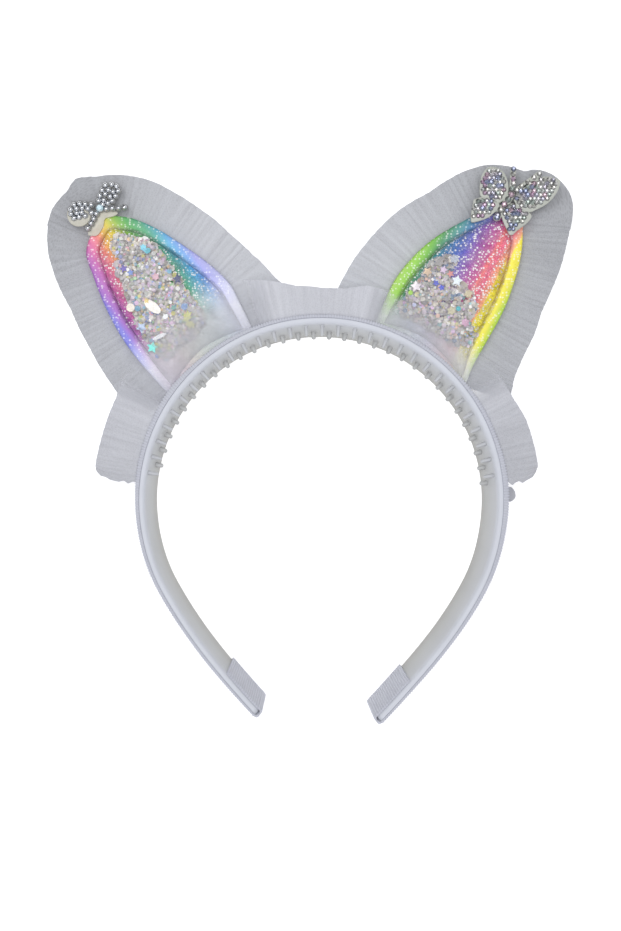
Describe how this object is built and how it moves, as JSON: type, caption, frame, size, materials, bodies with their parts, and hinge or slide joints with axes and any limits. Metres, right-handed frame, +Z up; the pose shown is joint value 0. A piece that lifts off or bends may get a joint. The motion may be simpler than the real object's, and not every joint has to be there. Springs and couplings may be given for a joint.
{
  "type": "costume ear headband with sequin ears and butterflies",
  "caption": "Child's white toothed headband with two rainbow glitter ears holding loose sequins, pleated tulle ruffles and two jewelled butterflies.",
  "frame": {"origin": "on the table under the middle of the headband's outline", "axes": "+Z up from the table toward the headband's face, +Y from the band's tips toward its top and the ears"},
  "size_m": [0.1738, 0.183, 0.015],
  "materials": {
    "white_plastic": "satin white plastic",
    "grosgrain": "ribbed white ribbon",
    "tulle": "fine white net",
    "glitter_left": "rainbow glitter vinyl",
    "glitter_right": "rainbow glitter vinyl",
    "clear_film": "clear soft vinyl film",
    "sequins": "iridescent flakes",
    "chrome_studs": "bright silver studs",
    "crystal": "iridescent cut stones on cream resin"
  },
  "bodies": {
    "root": {"band": "white_plastic", "ribbon": "grosgrain", "band_ruffle": "tulle", "ear_ruffle_left": "tulle", "ear_ruffle_right": "tulle", "ear_back_left": "glitter_left", "ear_back_right": "glitter_right", "ear_window_left": "clear_film", "ear_window_right": "clear_film", "sequin_fill_left": "sequins", "sequin_fill_right": "sequins", "butterfly_left": "chrome_studs", "butterfly_right": "crystal"}
  },
  "joints": []
}
